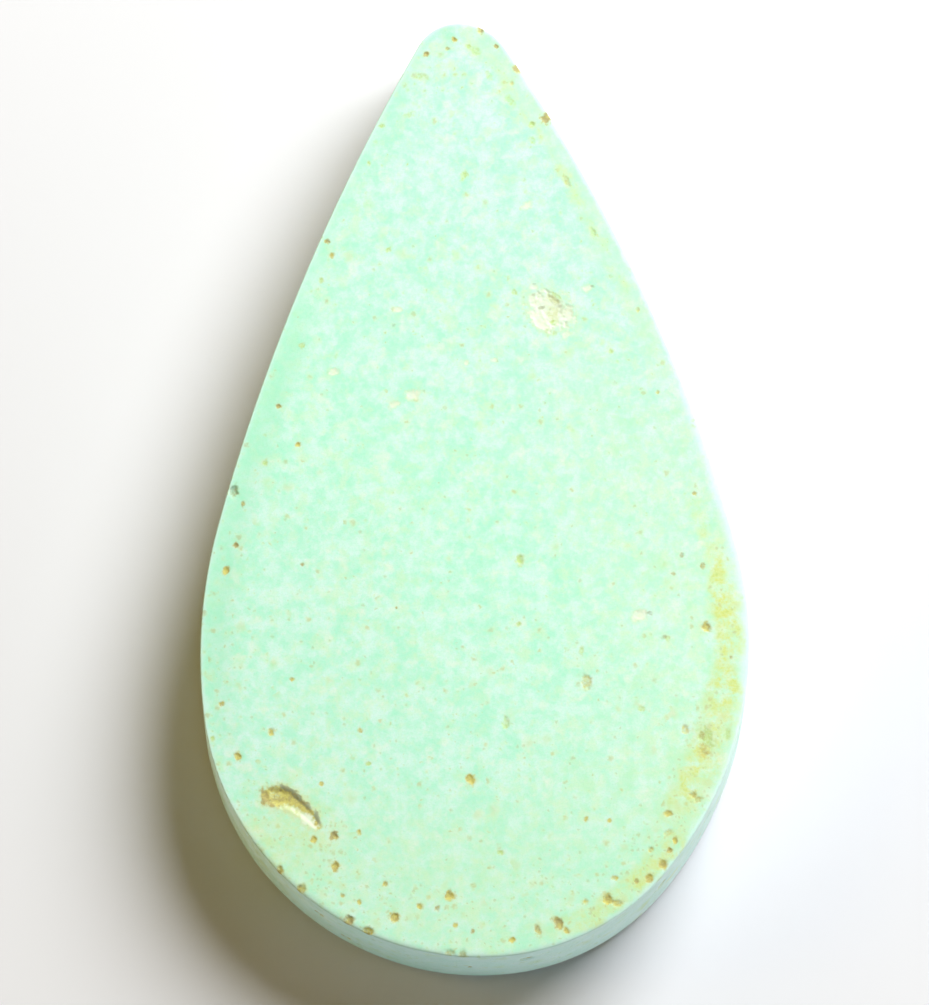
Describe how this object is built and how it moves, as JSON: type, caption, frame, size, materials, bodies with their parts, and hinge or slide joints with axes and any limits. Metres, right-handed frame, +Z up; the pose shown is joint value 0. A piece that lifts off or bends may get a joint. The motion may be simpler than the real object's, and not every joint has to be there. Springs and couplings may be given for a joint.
{
  "type": "turquoise teardrop blank",
  "caption": "Flat pear-shaped blank of pale turquoise with a pitted matte face, upright walls and a ground base to rest on or be glued by.",
  "frame": {"origin": "centre of the bounding box, on the flat base", "axes": "+Y towards the narrow tip, +X to the right of the tip as seen from above the flat face, +Z up through the thickness"},
  "size_m": [0.023, 0.04, 0.005],
  "materials": {
    "turquoise": "matte, ground and unpolished, mottled pale mint with ochre pits and a yellow-green stain"
  },
  "bodies": {
    "root": {"turquoise_teardrop": "turquoise"}
  },
  "joints": []
}
